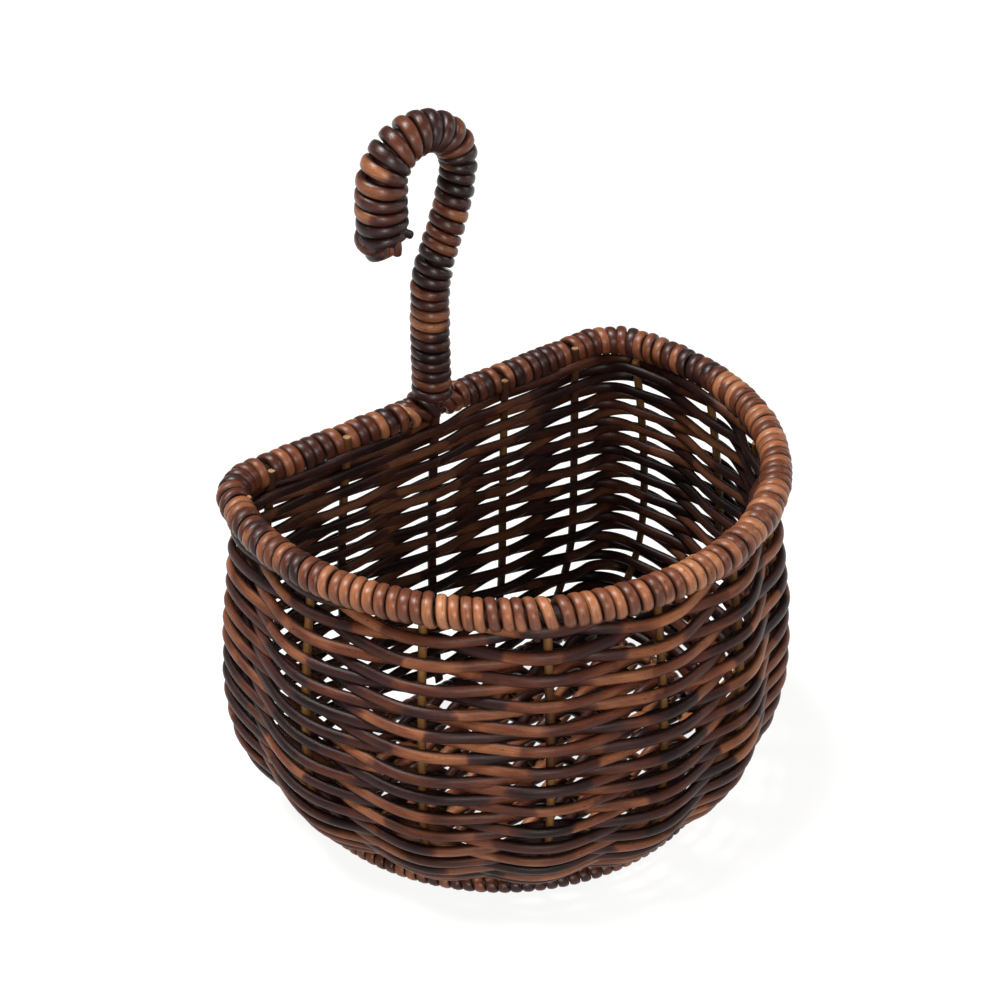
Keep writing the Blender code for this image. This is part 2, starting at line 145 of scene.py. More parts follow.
# ---------------------------------------------------------------- small helpers on arrays
def unit(vectors):
    """The same directions, each one long."""
    return vectors / np.linalg.norm(vectors, axis=-1, keepdims=True)


def smooth(part):
    """A smooth step from 0 to 1."""
    return part * part * (3 - 2 * part)


def way_along(points):
    """The distance along a line, at each of its points."""
    return np.concatenate([[0.0], np.cumsum(np.linalg.norm(np.diff(points, axis=0), axis=1))])


def nearness(shares, centre, width):
    """1 at a place of the way round, falling off to 0 over about this width."""
    return np.exp(-((((shares - centre + 0.5) % 1.0) - 0.5) / width) ** 2)


def smooth_noise(count, size, spacing):
    """A smooth random line: one random value every so many points."""
    knots = rng.normal(0.0, size, max(int(count / spacing) + 3, 4))
    places = np.linspace(0, len(knots) - 1.001, count)
    low = places.astype(int)
    part = smooth(places - low)
    return knots[low] * (1 - part) + knots[low + 1] * part


def eased(places, spacing, values):
    """Values that stand this far apart, joined by smooth steps."""
    low = np.clip(np.floor(places / spacing).astype(int), 0, len(values) - 2)
    part = smooth(places / spacing - low)
    return values[low] * (1 - part) + values[low + 1] * part


def curve_through(knots, steps):
    """A smooth curve through the knots, with this many steps from each to the next."""
    made = [knots[0]]
    padded = np.concatenate([[2 * knots[0] - knots[1]], knots, [2 * knots[-1] - knots[-2]]])
    for before, here, after, beyond in zip(padded, padded[1:], padded[2:], padded[3:]):
        slope = after - before
        square = 2 * before - 5 * here + 4 * after - beyond
        cube = 3 * here - before - 3 * after + beyond
        for t in np.linspace(0, 1, steps + 1)[1:]:
            made.append(0.5 * (2 * here + slope * t + square * t**2 + cube * t**3))
    return np.array(made)


# ---------------------------------------------------------------- the D-shaped plan
def half_outline(radius, flat_y, corner):
    """Half the flat's length, and the angle at which the corner's arc meets the big arc."""
    rise = flat_y - corner - arc_y
    half_flat = np.sqrt(np.maximum((radius - corner) ** 2 - rise**2, 0.0))
    return half_flat, np.arctan2(rise, half_flat)


rim_half_flat, rim_meet = (float(v) for v in half_outline(rim_radius, back_y, corner_radius))
rim_corner_length = corner_radius * (math.pi / 2 - rim_meet)
rim_length = 2 * (rim_half_flat + rim_corner_length + rim_radius * (math.pi / 2 + rim_meet))
FLAT_SHARE = rim_half_flat / rim_length
CORNER_SHARE = (rim_half_flat + rim_corner_length) / rim_length


def outline(share, radius, flat_y, corner):
    """Points of the D-shaped outline, for arrays of any one shape."""
    share, radius, flat_y, corner = np.broadcast_arrays(share, radius, flat_y, corner)
    share = share % 1.0
    side = np.where(share <= 0.5, 1.0, -1.0)
    way = np.minimum(share, 1.0 - share)
    half_flat, meet = half_outline(radius, flat_y, corner)
    on_flat, on_corner = way <= FLAT_SHARE, way <= CORNER_SHARE
    bend = math.pi / 2 - (math.pi / 2 - meet) * (way - FLAT_SHARE) / (CORNER_SHARE - FLAT_SHARE)
    arc = meet - (meet + math.pi / 2) * (way - CORNER_SHARE) / (0.5 - CORNER_SHARE)
    x = np.where(
        on_flat, half_flat * way / FLAT_SHARE,
        np.where(on_corner, half_flat + corner * np.cos(bend), radius * np.cos(arc)),
    )
    y = np.where(
        on_flat, flat_y,
        np.where(on_corner, flat_y - corner + corner * np.sin(bend), arc_y + radius * np.sin(arc)),
    )
    return side * x, y


def level_line(shares, radius, flat_y, corner, height):
    """A D-shaped line at one height."""
    x, y = outline(shares, radius, flat_y, corner)
    return np.stack([x, y, np.full(len(x), height)], axis=1)


def rim_line(shares):
    """The middle line of the rim's hoop."""
    return level_line(shares, rim_radius, back_y, corner_radius, rim_height)


def border_line(shares, inset=0.0):
    """The middle line of the foot ring, or a line inside it."""
    return level_line(
        shares, base_radius - inset, back_y - back_tuck - inset, corner_radius - inset, border_height)


def outward_of(line, shares):
    """The level direction square to one of these lines, away from the middle."""
    step = 2e-4
    along = unit(line(shares + step) - line(shares - step))
    return np.stack([-along[:, 1], along[:, 0], np.zeros(len(along))], axis=1)


# ---------------------------------------------------------------- the wall's middle surface
SHARE_STEPS, RISE_STEPS = 1440, 120


def wall_grid():
    """The wall's middle on a grid of shares by rises, and the length of the wall's line at each share."""
    shares = np.linspace(0, 1, SHARE_STEPS + 1)[:, None]
    height = wall_foot + (rim_height - wall_foot) * np.linspace(0, 1, RISE_STEPS + 1)[None, :]
    lower = np.minimum((height - wall_foot) / (belly_height - wall_foot), 1.0)
    upper = np.maximum((height - belly_height) / (rim_height - belly_height), 0.0)
    swell, lean = 1.0 - (1.0 - lower) ** belly_power, upper**shoulder_power
    radius = base_radius + (belly_radius - base_radius) * swell - (belly_radius - rim_radius + stake_inset) * lean
    flat_y = back_y - back_tuck * (1.0 - swell) - stake_inset * lean
    x, y = outline(shares, radius, flat_y, corner_radius - stake_inset * lean)
    grid = np.stack([x, y, np.broadcast_to(height, x.shape)], axis=2)
    even, lengths = np.empty_like(grid), np.empty(len(grid))
    for row, line in enumerate(grid):
        way = way_along(line)
        lengths[row] = way[-1]
        for axis in range(3):
            even[row, :, axis] = np.interp(np.linspace(0, way[-1], RISE_STEPS + 1), way, line[:, axis])
    return even, lengths


def wall_normals():
    """The outward direction at each place of the grid."""
    around = np.gradient(WALL, axis=0)
    around[0] = around[-1] = WALL[1] - WALL[-2]
    return unit(np.cross(np.gradient(WALL, axis=1), around))


WALL, LINE_LENGTHS = wall_grid()
NORMALS = wall_normals()
shortest_line = np.interp(STAKE_PLACES, np.linspace(0, 1, SHARE_STEPS + 1), LINE_LENGTHS).min()


def on_grid(grid, share, rise):
    """The grid's value at any share and rise."""
    a = (np.asarray(share) % 1.0) * SHARE_STEPS
    b = np.clip(np.asarray(rise), 0.0, 1.0) * RISE_STEPS
    i, j = np.minimum(a.astype(int), SHARE_STEPS - 1), np.minimum(b.astype(int), RISE_STEPS - 1)
    u, v = (a - i)[..., None], (b - j)[..., None]
    low = grid[i, j] * (1 - u) + grid[i + 1, j] * u
    high = grid[i, j + 1] * (1 - u) + grid[i + 1, j + 1] * u
    return low * (1 - v) + high * v


def share_at(bay):
    """The share at a count of bays passed, which need not be whole."""
    bay = np.asarray(bay, float)
    turn = np.floor(bay / BAYS)
    return turn + np.interp(bay - turn * BAYS, np.arange(BAYS + 1), (*STAKE_PLACES, 1.0))


# ---------------------------------------------------------------- meshes
class Rods:
    """Collects rods into one mesh, with UVs that run along each rod in centimetres and once round it."""

    UV_PER_METRE = 100
    UV_BETWEEN_RODS = 37.0
    END_BEVEL = 0.0004
    END_SHRINK = 0.86
    CUT_UV_RADIUS = 0.1
    made = 0

    def __init__(self):
        self.verts, self.faces, self.uvs, self.flat, self.count = [], [], [], [], 0

    def add(self, points, out, half_out, half_side, sides=12, closed=False, fullness=2.0):
        """A rod along points. Its section is an ellipse, and one of more fullness than 2 is squarer."""
        points = np.asarray(points, float)
        along = np.roll(points, -1, 0) - np.roll(points, 1, 0) if closed else np.gradient(points, axis=0)
        along = unit(along)
        out = np.broadcast_to(out, points.shape)
        out = unit(out - along * (out * along).sum(1, keepdims=True))
        side = np.cross(along, out)
        half_out, half_side = (np.broadcast_to(half, len(points))[:, None] for half in (half_out, half_side))
        way = way_along(points) * self.UV_PER_METRE + self.UV_BETWEEN_RODS * Rods.made
        Rods.made += 1
        turn = np.linspace(0, 2 * math.pi, sides, endpoint=False)
        over, across = (np.sign(v) * np.abs(v) ** (2 / fullness) for v in (np.cos(turn), np.sin(turn)))

        def rings(places, shrink=1.0, shift=0.0):
            """The rings of points at some of the rod's places, made smaller or moved along it."""
            middle = points[places] + along[places] * shift
            outwards = out[places] * half_out[places] * shrink
            sideways = side[places] * half_side[places] * shrink
            return middle[:, None] + outwards[:, None] * over[:, None] + sideways[:, None] * across[:, None]

        if closed:
            verts = rings(slice(None))
            ways = [*way, way[-1] + np.linalg.norm(points[0] - points[-1]) * self.UV_PER_METRE]
        else:
            bevel, shrink = self.END_BEVEL, self.END_SHRINK
            verts = np.concatenate([
                rings(slice(0, 1), shrink, -bevel), rings(slice(None)), rings(slice(-1, None), shrink, bevel)])
            bevel_uv = bevel * self.UV_PER_METRE
            ways = [way[0] - bevel_uv, *way, way[-1] + bevel_uv]
        self.verts.append(verts.reshape(-1, 3))
        self.add_walls(len(verts), ways, sides, closed)
        if not closed:
            self.add_ends(len(verts), ways, sides)
        self.count += len(verts) * sides

    def add_walls(self, total, ways, sides, closed):
        """The faces between each ring and the next."""
        for k in range(total if closed else total - 1):
            a, b = self.count + k * sides, self.count + ((k + 1) % total) * sides
            for s in range(sides):
                t = (s + 1) % sides
                self.faces.append((a + s, a + t, b + t, b + s))
                self.uvs += [(ways[k], s / sides), (ways[k], (s + 1) / sides),
                             (ways[k + 1], (s + 1) / sides), (ways[k + 1], s / sides)]
                self.flat.append(False)

    def add_ends(self, total, ways, sides):
        """The two cut ends."""
        first = [self.count + s for s in range(sides)][::-1]
        last = [self.count + (total - 1) * sides + s for s in range(sides)]
        turns = [2 * math.pi * s / sides for s in range(sides)]
        for end, way in ((first, ways[0]), (last, ways[-1])):
            self.faces.append(tuple(end))
            self.uvs += [(way + self.CUT_UV_RADIUS * math.cos(turn), 0.5 + self.CUT_UV_RADIUS * math.sin(turn))
                         for turn in turns]
            self.flat.append(True)

    def build(self, name, materials, node):
        """The piece, in the look of its sides and the look of its cut ends, in place of the CAD node."""
        mesh = bpy.data.meshes.new(name)
        mesh.from_pydata(np.concatenate(self.verts).tolist(), [], self.faces)
        layer = mesh.uv_layers.new(name="rod")
        layer.data.foreach_set("uv", np.array(self.uvs, np.float32).ravel())
        mesh.polygons.foreach_set("use_smooth", [not flat for flat in self.flat])
        for material in materials:
            mesh.materials.append(material)
        mesh.polygons.foreach_set("material_index", [int(flat) for flat in self.flat])
        mesh.update()
        obj = bpy.data.objects.new(name, mesh)
        bpy.context.scene.collection.objects.link(obj)
        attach(obj, "root")
        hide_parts(node)


# ---------------------------------------------------------------- materials
class Nodes:
    """A short way to write a material's node tree."""

    def __init__(self, name):
        self.material = bpy.data.materials.new(name)
        self.material.use_nodes = True
        self.tree = self.material.node_tree
        self.tree.nodes.clear()

    def node(self, kind, inputs=None, **settings):
        """A new shader node, with its settings and what goes into its sockets."""
        made = self.tree.nodes.new("ShaderNode" + kind)
        for key, value in settings.items():
            setattr(made, key, value)
        for key, value in (inputs or {}).items():
            self.put(made.inputs[key], value)
        return made

    def put(self, socket, value):
        """Link another node's output to a socket, or set its value."""
        if isinstance(value, bpy.types.NodeSocket):
            self.tree.links.new(value, socket)
        else:
            socket.default_value = value

    def math(self, operation, a, b=0.0, clamp=False):
        made = self.node("Math", operation=operation, use_clamp=clamp)
        self.put(made.inputs[0], a)
        self.put(made.inputs[1], b)
        return made.outputs[0]

    def mix(self, factor, a, b, blend="MIX"):
        made = self.node("Mix", {"Factor": factor, "A": a, "B": b}, data_type="RGBA", blend_type=blend)
        return made.outputs["Result"]

    def noise(self, **inputs):
        """Noise from 0 to 1, by vector, scale, detail and roughness."""
        made = self.node("TexNoise", {key.capitalize(): value for key, value in inputs.items()})
        return made.outputs["Fac"]

    def ramp(self, factor, stops):
        """A colour ramp through (place, colour) stops."""
        made = self.node("ValToRGB", {"Fac": factor})
        elements = made.color_ramp.elements
        while len(elements) < len(stops):
            elements.new(0.5)
        for element, (place, colour) in zip(elements, stops):
            element.position = place
            element.color = (*colour, 1.0)
        return made.outputs["Color"]

    def surface(self, inputs):
        """The finished material, with these values and links on its shader."""
        shader = self.node("BsdfPrincipled", inputs)
        self.node("OutputMaterial", {"Surface": shader.outputs["BSDF"]})
        return self.material


WHITE, BLACK = (1.0, 1.0, 1.0), (0.0, 0.0, 0.0)
# The next colour is painted shade, laid on the rods' sides and on their inward faces
PAINTED_SHADE_COLOUR = (0.0035, 0.0012, 0.0011)
DARK = (0.0070, 0.0024, 0.0022)
PLUM = (0.021, 0.0064, 0.0054)
BROWN = (0.043, 0.0108, 0.0052)
RUSSET = (0.088, 0.0250, 0.0105)
TAN = (0.190, 0.069, 0.0285)
HONEY = (0.270, 0.118, 0.0570)
AMBER = (0.040, 0.0160, 0.0045)
OLIVE = (0.105, 0.046, 0.0120)
STRAW = (0.170, 0.082, 0.0240)


def rattan(name, stops, patch_length=4.0, roughness=0.5, streaks=0.5, coat=0.05, crease_shade=0.5, inside=0.0, gloss=0.24):
    """Stained rattan: patches of tone along the rod in centimetres, lengthwise streaks and fibres, and small pits.

    Painted shade: one share darkens the rod's two sides, where its neighbours lie close, and inside darkens the
    side that faces inwards.
    """
    n = Nodes(name)
    uv = n.node("UVMap", uv_map="rod").outputs["UV"]
    parts = n.node("SeparateXYZ", {"Vector": uv}).outputs
    along, turn = parts["X"], n.math("MULTIPLY", parts["Y"], 2 * math.pi)
    cosine, sine = n.math("COSINE", turn), n.math("SINE", turn)

    def rod_space(stretch, width):
        """Coordinates along and round the rod, without a break where the UV wraps round."""
        return n.node("CombineXYZ", {
            "X": n.math("MULTIPLY", along, stretch),
            "Y": n.math("MULTIPLY", cosine, width),
            "Z": n.math("MULTIPLY", sine, width),
        }).outputs["Vector"]

    def share_of(value, factor):
        """A value times a factor."""
        return n.math("MULTIPLY", value, factor)

    # Patches of tone: cells along the rod whose edges wander, and a softer change over them
    wander = n.noise(vector=rod_space(0.9, 0.16), scale=1.0, detail=2.0, roughness=0.6)
    place = n.math("ADD", share_of(along, 1.0 / patch_length), share_of(wander, 0.55))
    cells = n.node("TexVoronoi", {"W": place, "Scale": 1.0, "Randomness": 1.0, "Smoothness": 0.32},
                   voronoi_dimensions="1D", feature="SMOOTH_F1")
    cell = n.node("SeparateColor", {"Color": cells.outputs["Color"]}).outputs["Red"]
    soft = n.noise(vector=rod_space(0.55, 0.35), scale=1.0, detail=1.0, roughness=0.55)
    blend = n.math("ADD", share_of(cell, 0.62), share_of(soft, 0.62))
    colour = n.ramp(n.math("SUBTRACT", blend, 0.12, clamp=True), stops)

    # Streaks, fine fibres and pits
    streak = n.noise(vector=rod_space(0.8, 3.2), scale=1.6, detail=3.0, roughness=0.65)
    shade = n.ramp(streak, ((0.30, (0.45, 0.43, 0.43)), (0.52, WHITE), (0.74, (1.5, 1.42, 1.3))))
    colour = n.mix(streaks, colour, shade, "MULTIPLY")
    fibre = n.noise(vector=rod_space(2.2, 16.0), scale=1.5, detail=2.0, roughness=0.7)
    fine = n.ramp(fibre, ((0.36, (0.62, 0.60, 0.60)), (0.60, (1.08, 1.06, 1.04))))
    colour = n.mix(0.45, colour, fine, "MULTIPLY")
    spots = n.noise(vector=rod_space(6.0, 2.0), scale=1.3, detail=1.0, roughness=0.6)
    pits = n.ramp(spots, ((0.66, BLACK), (0.74, WHITE)))
    colour = n.mix(share_of(pits, 0.6), colour, (*DARK, 1.0))

    # Painted shade on the rod's two sides, where its neighbours lie close, and on the side that faces into the
    # basket
    sides = share_of(n.math("POWER", n.math("ABSOLUTE", sine), 4.0), crease_shade)
    inward_shade = share_of(n.math("ADD", share_of(cosine, -0.9), 0.35, clamp=True), inside)
    colour = n.mix(n.math("ADD", sides, inward_shade, clamp=True), colour, (*PAINTED_SHADE_COLOUR, 1.0))

    rough = n.math("ADD", share_of(streak, 0.22), roughness - 0.11)
    relief = n.math("ADD", share_of(fibre, 0.6), share_of(streak, 0.8))
    bump = n.node("Bump", {"Strength": 0.35, "Distance": 0.00035, "Height": relief})
    return n.surface({
        "Base Color": colour, "Roughness": rough, "Normal": bump.outputs["Normal"],
        "Coat Weight": coat, "Coat Roughness": 0.28, "Coat IOR": 1.3, "Specular IOR Level": gloss, "IOR": 1.35,
    })


def cut_end(name, pith, rind):
    """A rod's cut end: pith with small pores."""
    n = Nodes(name)
    place = n.node("TexCoord").outputs["Object"]
    pores = n.node("TexVoronoi", {"Vector": place, "Scale": 2600.0, "Randomness": 1.0}).outputs["Distance"]
    blot = n.noise(vector=place, scale=420.0, detail=4.0)
    shade = n.ramp(blot, ((0.35, (0.55, 0.52, 0.5)), (0.65, (1.1, 1.1, 1.1))))
    colour = n.mix(0.7, n.ramp(pores, ((0.15, rind), (0.45, pith))), shade, "MULTIPLY")
    bump = n.node("Bump", {"Strength": 0.4, "Distance": 0.0002, "Height": pores})
    return n.surface({
        "Base Color": colour, "Roughness": 0.7, "Normal": bump.outputs["Normal"], "Specular IOR Level": 0.3,
    })


# The looks below take painted shade on their rods' sides, and the weaver's also on its inward side
weaver_look = rattan(
    "stained_weaver", ((0.14, DARK), (0.30, PLUM), (0.46, BROWN), (0.60, RUSSET), (0.80, TAN)),
    patch_length=2.7, roughness=0.40, streaks=0.70, coat=0.08, crease_shade=0.52, inside=0.58, gloss=0.20)
wrap_look = rattan(
    "stained_wrap", ((0.08, DARK), (0.26, PLUM), (0.44, BROWN), (0.60, RUSSET), (0.90, TAN)),
    patch_length=2.6, roughness=0.36, streaks=0.60, coat=0.22, crease_shade=0.85, gloss=0.36)
# A paler copy of the wrap's look, for the rim's front, is painted light
front_lit_wrap_look = rattan(
    "stained_wrap_front_lit", ((0.05, BROWN), (0.36, RUSSET), (0.66, TAN), (1.00, HONEY)),
    patch_length=2.6, roughness=0.36, streaks=0.75, coat=0.24, crease_shade=0.85, gloss=0.38)
hook_look = rattan(
    "stained_hook_wrap",
    ((0.16, DARK), (0.36, PLUM), (0.53, BROWN), (0.68, RUSSET), (0.82, TAN), (1.00, HONEY)),
    patch_length=2.6, roughness=0.34, streaks=0.70, coat=0.26, crease_shade=0.90, gloss=0.38)
stake_look = rattan("stained_stake", ((0.15, AMBER), (0.50, OLIVE), (0.85, STRAW)))
back_stake_look = rattan("stained_back_stake", ((0.15, PLUM), (0.50, AMBER), (0.95, OLIVE)))
core_look = rattan("stained_core", ((0.15, DARK), (0.55, PLUM), (0.85, BROWN)))
pale_cut = cut_end("cut_pale", (0.20, 0.110, 0.042), (0.08, 0.040, 0.014))
dark_cut = cut_end("cut_dark", (0.13, 0.055, 0.022), (0.035, 0.014, 0.008))

# ---------------------------------------------------------------- the wall's running rods
first_rise = first_row_rise / shortest_line
last_rise = 1.0 - ((wrap_diameter + weaver_diameter) / 2 + rim_slit) / shortest_line
BAY_POINTS = 14

# Each of the last rows rises at once at its start, by more from row to row, and climbs less after that, so that
# the wall's top ends level. The rod is also lifted there where it passes inside a stake.
LEVEL_ROWS = 6
level_start = 0.035  # the part of a round in which such a row rises
top_lift = 0.0046

# Where the rows lie packed under the rim, as (share, width, how far up they move), and how far down they move
# elsewhere. They are shares of the wall's line, and hold where the shift is greatest.
PACKED_PLACES = ((0.90, 0.14, 0.098), (0.11, 0.12, 0.062))
front_settling = 0.014
packing_lean = 1.35

# The rods are slimmer at the back, from this rise on and fully so over the next
back_slimming, back_width = 0.24, 0.18
slim_from, slim_over = 0.12, 0.4

width_spacing = 3.0
wobble_count = ROW_COUNT * BAYS + 2
rise_wobble = rng.normal(0.0, 0.00042, wobble_count)
swing_wobble = rng.normal(0.0, 0.05, wobble_count)
width_wobble = rng.normal(0.0, 0.05, wobble_count // 3 + 2)


def packed(shares, climb):
    """The rows' rises: packed under the rim at the back's left and right, and closer at the foot in front."""
    upwards = sum(size * nearness(shares, centre, width) for centre, width, size in PACKED_PLACES)
    shift = np.sin(math.pi * (1.0 - (1.0 - np.clip(climb, 0.0, 1.0)) ** packing_lean))
    return climb + (upwards - front_settling) * shift


def woven_line(bays):
    """A running rod's middle line, its outward direction and its half thickness outwards and sideways."""
    shares, row = share_at(bays), bays / BAYS
    wave = np.cos(math.pi * bays)
    bulge = wave * np.abs(wave) ** 0.3
    near_rim = np.clip((row - (ROW_COUNT - LEVEL_ROWS - 1)) / LEVEL_ROWS, 0.0, 1.0)
    round_part = row % 1.0
    level = smooth(np.clip(round_part / level_start, 0.0, 1.0)) * (1.0 - round_part) * near_rim
    level = np.where(row >= ROW_COUNT, 0.0, level)
    climb = first_rise + (last_rise - first_rise) * (row + level) / ROW_COUNT
    lift = top_lift * near_rim * ((1 - bulge) / 2) ** 1.5
    rise = packed(shares, climb) + (lift + eased(bays, 1.0, rise_wobble)) / shortest_line
    behind = nearness(shares, 0.0, back_width)
    slim = 1.0 - back_slimming * behind * np.clip((rise - slim_from) / slim_over, 0.0, 1.0)
    swing = wall_swing * slim * bulge * (1.0 + eased(bays, 1.0, swing_wobble))
    out = on_grid(NORMALS, shares, rise)
    half = weaver_diameter / 2 * (1.0 + eased(bays, width_spacing, width_wobble))
    return on_grid(WALL, shares, rise) + out * swing[:, None], out, half * slim, half * row_fullness


def draw_weavers():
    """One spiral of rods, end to end. Each joint lies inside, behind an odd stake."""
    end = ROW_COUNT * BAYS
    joints = [0, *(round(end * k / ROD_COUNT) | 1 for k in range(1, ROD_COUNT)), end]
    for number, (first, last) in enumerate(zip(joints, joints[1:]), start=1):
        bays = np.linspace(first + joint_gap_bays, last - joint_gap_bays, (last - first) * BAY_POINTS)
        rods = Rods()
        rods.add(*woven_line(bays))
        rods.build(f"woven_rod_{number}", (weaver_look, dark_cut), f"weaver_{number}")


# ---------------------------------------------------------------- stakes and the rim's hoop
STAKE_POINTS = 40
FRONT_STAKES = range(4, 12)


def stake_line(number, share):
    """A short toe over the foot ring, then up the wall, and past the hoop where the tip shows."""
    shares, rises = np.full(STAKE_POINTS, share), np.linspace(0, 1, STAKE_POINTS)
    wall = on_grid(WALL, shares, rises)
    toe = unit(np.array([0.0, arc_y, wall[0][2]]) - wall[0]) * stake_toe
    if number in OPEN_TIPS:
        top = wall[-1] + np.outer((0.3, 0.65, 1.0), UP) * (stake_tip * OPEN_TIPS[number])
    else:
        wall = wall[wall[:, 2] < rim_height - hidden_tip_depth]
        top = wall[-1] + np.outer((0.1, 0.2, 0.3), wall[-1] - wall[-2])
    normals = on_grid(NORMALS, shares, rises)[:len(wall)]
    line = np.concatenate([[wall[0] + toe, wall[0] + toe * 0.4], wall, top])
    return line, np.concatenate([[UP, normals[0] + UP], normals, normals[[-1, -1, -1]]])


def draw_stakes():
    """All the stakes but the middle one of the back, which is the cane's tang. Those in front are paler."""
    for number, share in enumerate(stake_shares, start=1):
        line, out = stake_line(number, share)
        half = stake_diameter / 2 * (1.0 + smooth_noise(len(line), 0.03, 6))
        look = stake_look if number in FRONT_STAKES else back_stake_look
        rods = Rods()
        rods.add(line, out, half, half)
        rods.build(f"stake_rod_{number:02d}", (look, pale_cut), f"stake_{number:02d}")


def draw_hoop():
    """The rim's hoop, inside the wrapping."""
    shares = np.linspace(0, 1, 200, endpoint=False)
    rods = Rods()
    rods.add(rim_line(shares), outward_of(rim_line, shares), hoop_diameter / 2, hoop_diameter / 2, closed=True)
    rods.build("rim_cane", (core_look, dark_cut), "rim_hoop")


# ---------------------------------------------------------------- the rim's wrapping
WRAP_POINTS = 22
WRAP_FULLNESS = 2.4
PAINTED_LIGHT_SEGMENTS = range(5, 12)  # in front, where a paler copy of the strand's look is painted light


def window_at(stake):
    """The opening that the wrapping leaves at a stake, as a share of the way round."""
    width = hook_window if stake in (0, BAYS) else open_window if stake in OPEN_TIPS else closed_window
    return width / rim_length


def draw_rim_wraps():
    """The strand between each two stakes; but for the first, it begins half a turn back, beyond the stake."""
    places = (*STAKE_PLACES, 1.0)
    for number, (first, last) in enumerate(zip(places, places[1:]), start=1):
        lead, tail = window_at(number - 1) / 2, window_at(number) / 2
        start = first + lead * (window_reach if number > 1 else 1.0)
        end = last - tail * (window_reach if number < BAYS else 1.0)
        turns = max(round((last - tail - first - lead) * rim_length / wrap_pitch + 0.5), 2)
        half_turns = np.arange(0, 2 * turns) / 2
        marks, at = [*half_turns], [*(start + (end - start) * half_turns / (turns - 0.5))]
        if number > 1:
            marks, at = [-0.5, *marks], [first - lead * window_reach, *at]
        count = int((marks[-1] - marks[0]) * WRAP_POINTS)
        phase = np.linspace(marks[0], marks[-1], count)
        shares = np.interp(phase, marks, at) + smooth_noise(count, 0.00035, WRAP_POINTS) / rim_length
        reach = wrap_reach + smooth_noise(count, 0.00014, WRAP_POINTS * 0.7)
        angles = (math.pi / 2 + phase * 2 * math.pi)[:, None]
        direction = outward_of(rim_line, shares) * np.cos(angles) + UP * np.sin(angles)
        half_pitch = (end - start) * rim_length / (turns - 0.5) / 2
        half_side = half_pitch * wrap_tightness * (1.0 + smooth_noise(count, 0.04, WRAP_POINTS))
        half_out = wrap_strand_half * (1.0 + smooth_noise(count, 0.05, WRAP_POINTS))
        # The front segments take the paler look, which is painted light
        look = front_lit_wrap_look if number in PAINTED_LIGHT_SEGMENTS else wrap_look
        rods = Rods()
        rods.add(rim_line(shares) + direction * reach[:, None], direction, half_out, half_side,
                 fullness=WRAP_FULLNESS)
        rods.build(f"rim_strand_{number:02d}", (look, dark_cut), f"rim_wrap_{number:02d}")


# ---------------------------------------------------------------- the foot ring and the base
FOOT_TURN_POINTS = 16
base_swing = (base_stick_diameter + base_weaver_diameter) / 2 + clearance
base_swing /= math.cos(math.atan2(2 * base_swing, base_stick_pitch))
base_middle = base_swing + base_weaver_diameter / 2 + clearance


def draw_foot_ring():
    """A thin cane with a strand wound round it."""
    rods = Rods()
    shares = np.linspace(0, 1, 240, endpoint=False)
    rods.add(border_line(shares), outward_of(border_line, shares), foot_core_half, foot_core_half,
             sides=10, closed=True)
    turns = round(way_along(border_line(np.linspace(0, 1, 1200)))[-1] / foot_strand_pitch)
    phase = np.linspace(0, turns, turns * FOOT_TURN_POINTS, endpoint=False)
    shares, angles = phase / turns, (phase * 2 * math.pi)[:, None]
    out = outward_of(border_line, shares)
    reach_out, reach_up = border_diameter / 2 - foot_strand_half, border_height - foot_strand_half
    strand = border_line(shares) + out * (np.cos(angles) * reach_out) + UP * (np.sin(angles) * reach_up)
    rods.add(strand, out * np.cos(angles) + UP * np.sin(angles), foot_strand_half, foot_strand_half_width,
             sides=10, closed=True)
    rods.build("foot_ring", (wrap_look, dark_cut), "base_border")


def level_ends(along, inset, crossways):
    """The lowest and highest place of a line across the base."""
    line = border_line(np.linspace(0, 1, 2400), inset)
    across, level = (line[:, 0], line[:, 1]) if crossways else (line[:, 1], line[:, 0])
    crossed = np.nonzero(np.diff(np.sign(level - along)))[0]
    return across[crossed].min(), across[crossed].max()


def draw_base_sticks():
    """Sticks from back to front inside the foot ring."""
    inset = border_diameter / 2 + clearance
    reach = int((base_radius - inset) / base_stick_pitch)
    count = 24
    for number, step in enumerate(range(-reach, reach + 1), start=1):
        x = step * base_stick_pitch
        edges = (x - base_stick_diameter / 2, x + base_stick_diameter / 2)
        spans = [level_ends(edge, inset, crossways=False) for edge in edges]
        y = np.linspace(max(span[0] for span in spans), min(span[1] for span in spans), count)
        half = base_stick_diameter / 2 * (1.0 + smooth_noise(count, 0.025, 5))
        rods = Rods()
        rods.add(np.stack([np.full(count, x), y, np.full(count, base_middle)], axis=1), UP, half, half)
        rods.build(f"base_cane_{number}", (stake_look, pale_cut), f"base_stick_{number}")


def base_turn(row, ahead):
    """The bend from the end of one pass to the start of the next."""
    bend = np.linspace(-math.pi / 2, math.pi / 2, 8)[1:-1]
    end, start = row[-1], ahead[0]
    push = np.sign(end[0]) * base_weaver_pitch / 4
    return np.stack([
        (end[0] + start[0]) / 2 + (end[0] - start[0]) / 2 * -np.sin(bend) + push * np.cos(bend),
        (end[1] + start[1]) / 2 - (end[1] - start[1]) / 2 * np.sin(bend),
        end[2] + (start[2] - end[2]) * (np.sin(bend) + 1) / 2], axis=1)


